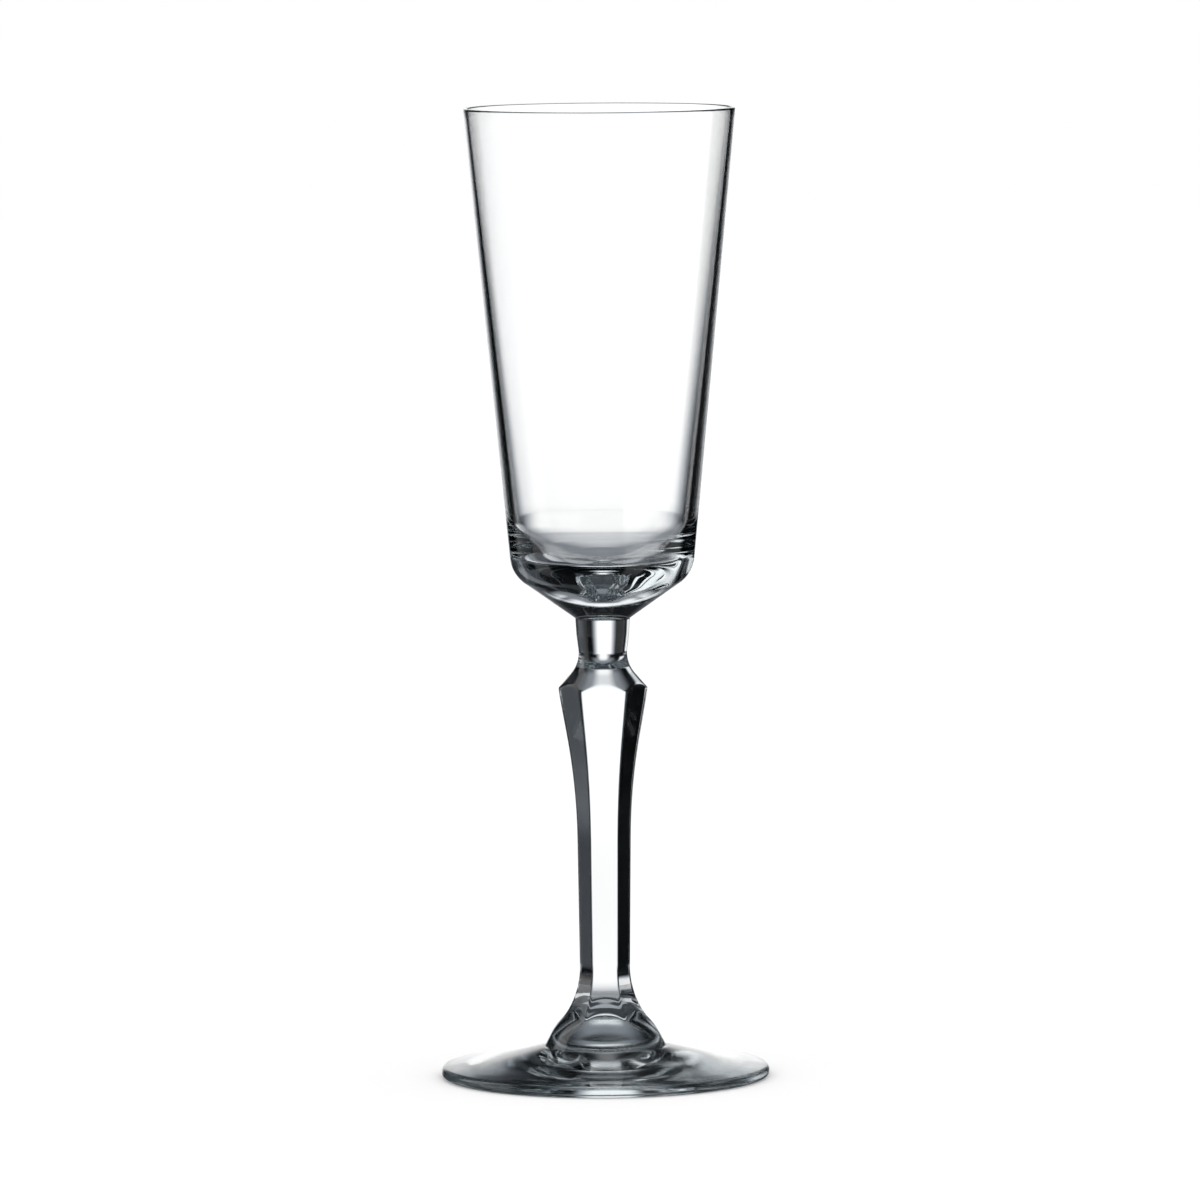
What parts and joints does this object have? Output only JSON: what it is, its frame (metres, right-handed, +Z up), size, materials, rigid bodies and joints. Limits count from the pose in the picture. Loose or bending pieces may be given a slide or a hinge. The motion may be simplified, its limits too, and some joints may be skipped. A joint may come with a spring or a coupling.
{
  "type": "champagne glass",
  "caption": "Stemmed champagne flute of clear glass, for sparkling wine: tall tapered bowl with a thick base, waisted panelled stem with a round shoulder, and a low round foot.",
  "frame": {"origin": "middle of the foot's resting ring, on the surface that the glass stands on", "axes": "+Z up the axis of the glass towards the rim; one flat panel of the stem faces -Y"},
  "size_m": [0.0732, 0.0732, 0.216],
  "materials": {
    "blown_glass": "clear soda-lime glass, machine blown, fire-polished",
    "pressed_glass": "clear soda-lime glass, pressed, fire-polished"
  },
  "bodies": {
    "root": {"bowl": "blown_glass", "stem": "pressed_glass", "foot": "pressed_glass"}
  },
  "joints": []
}
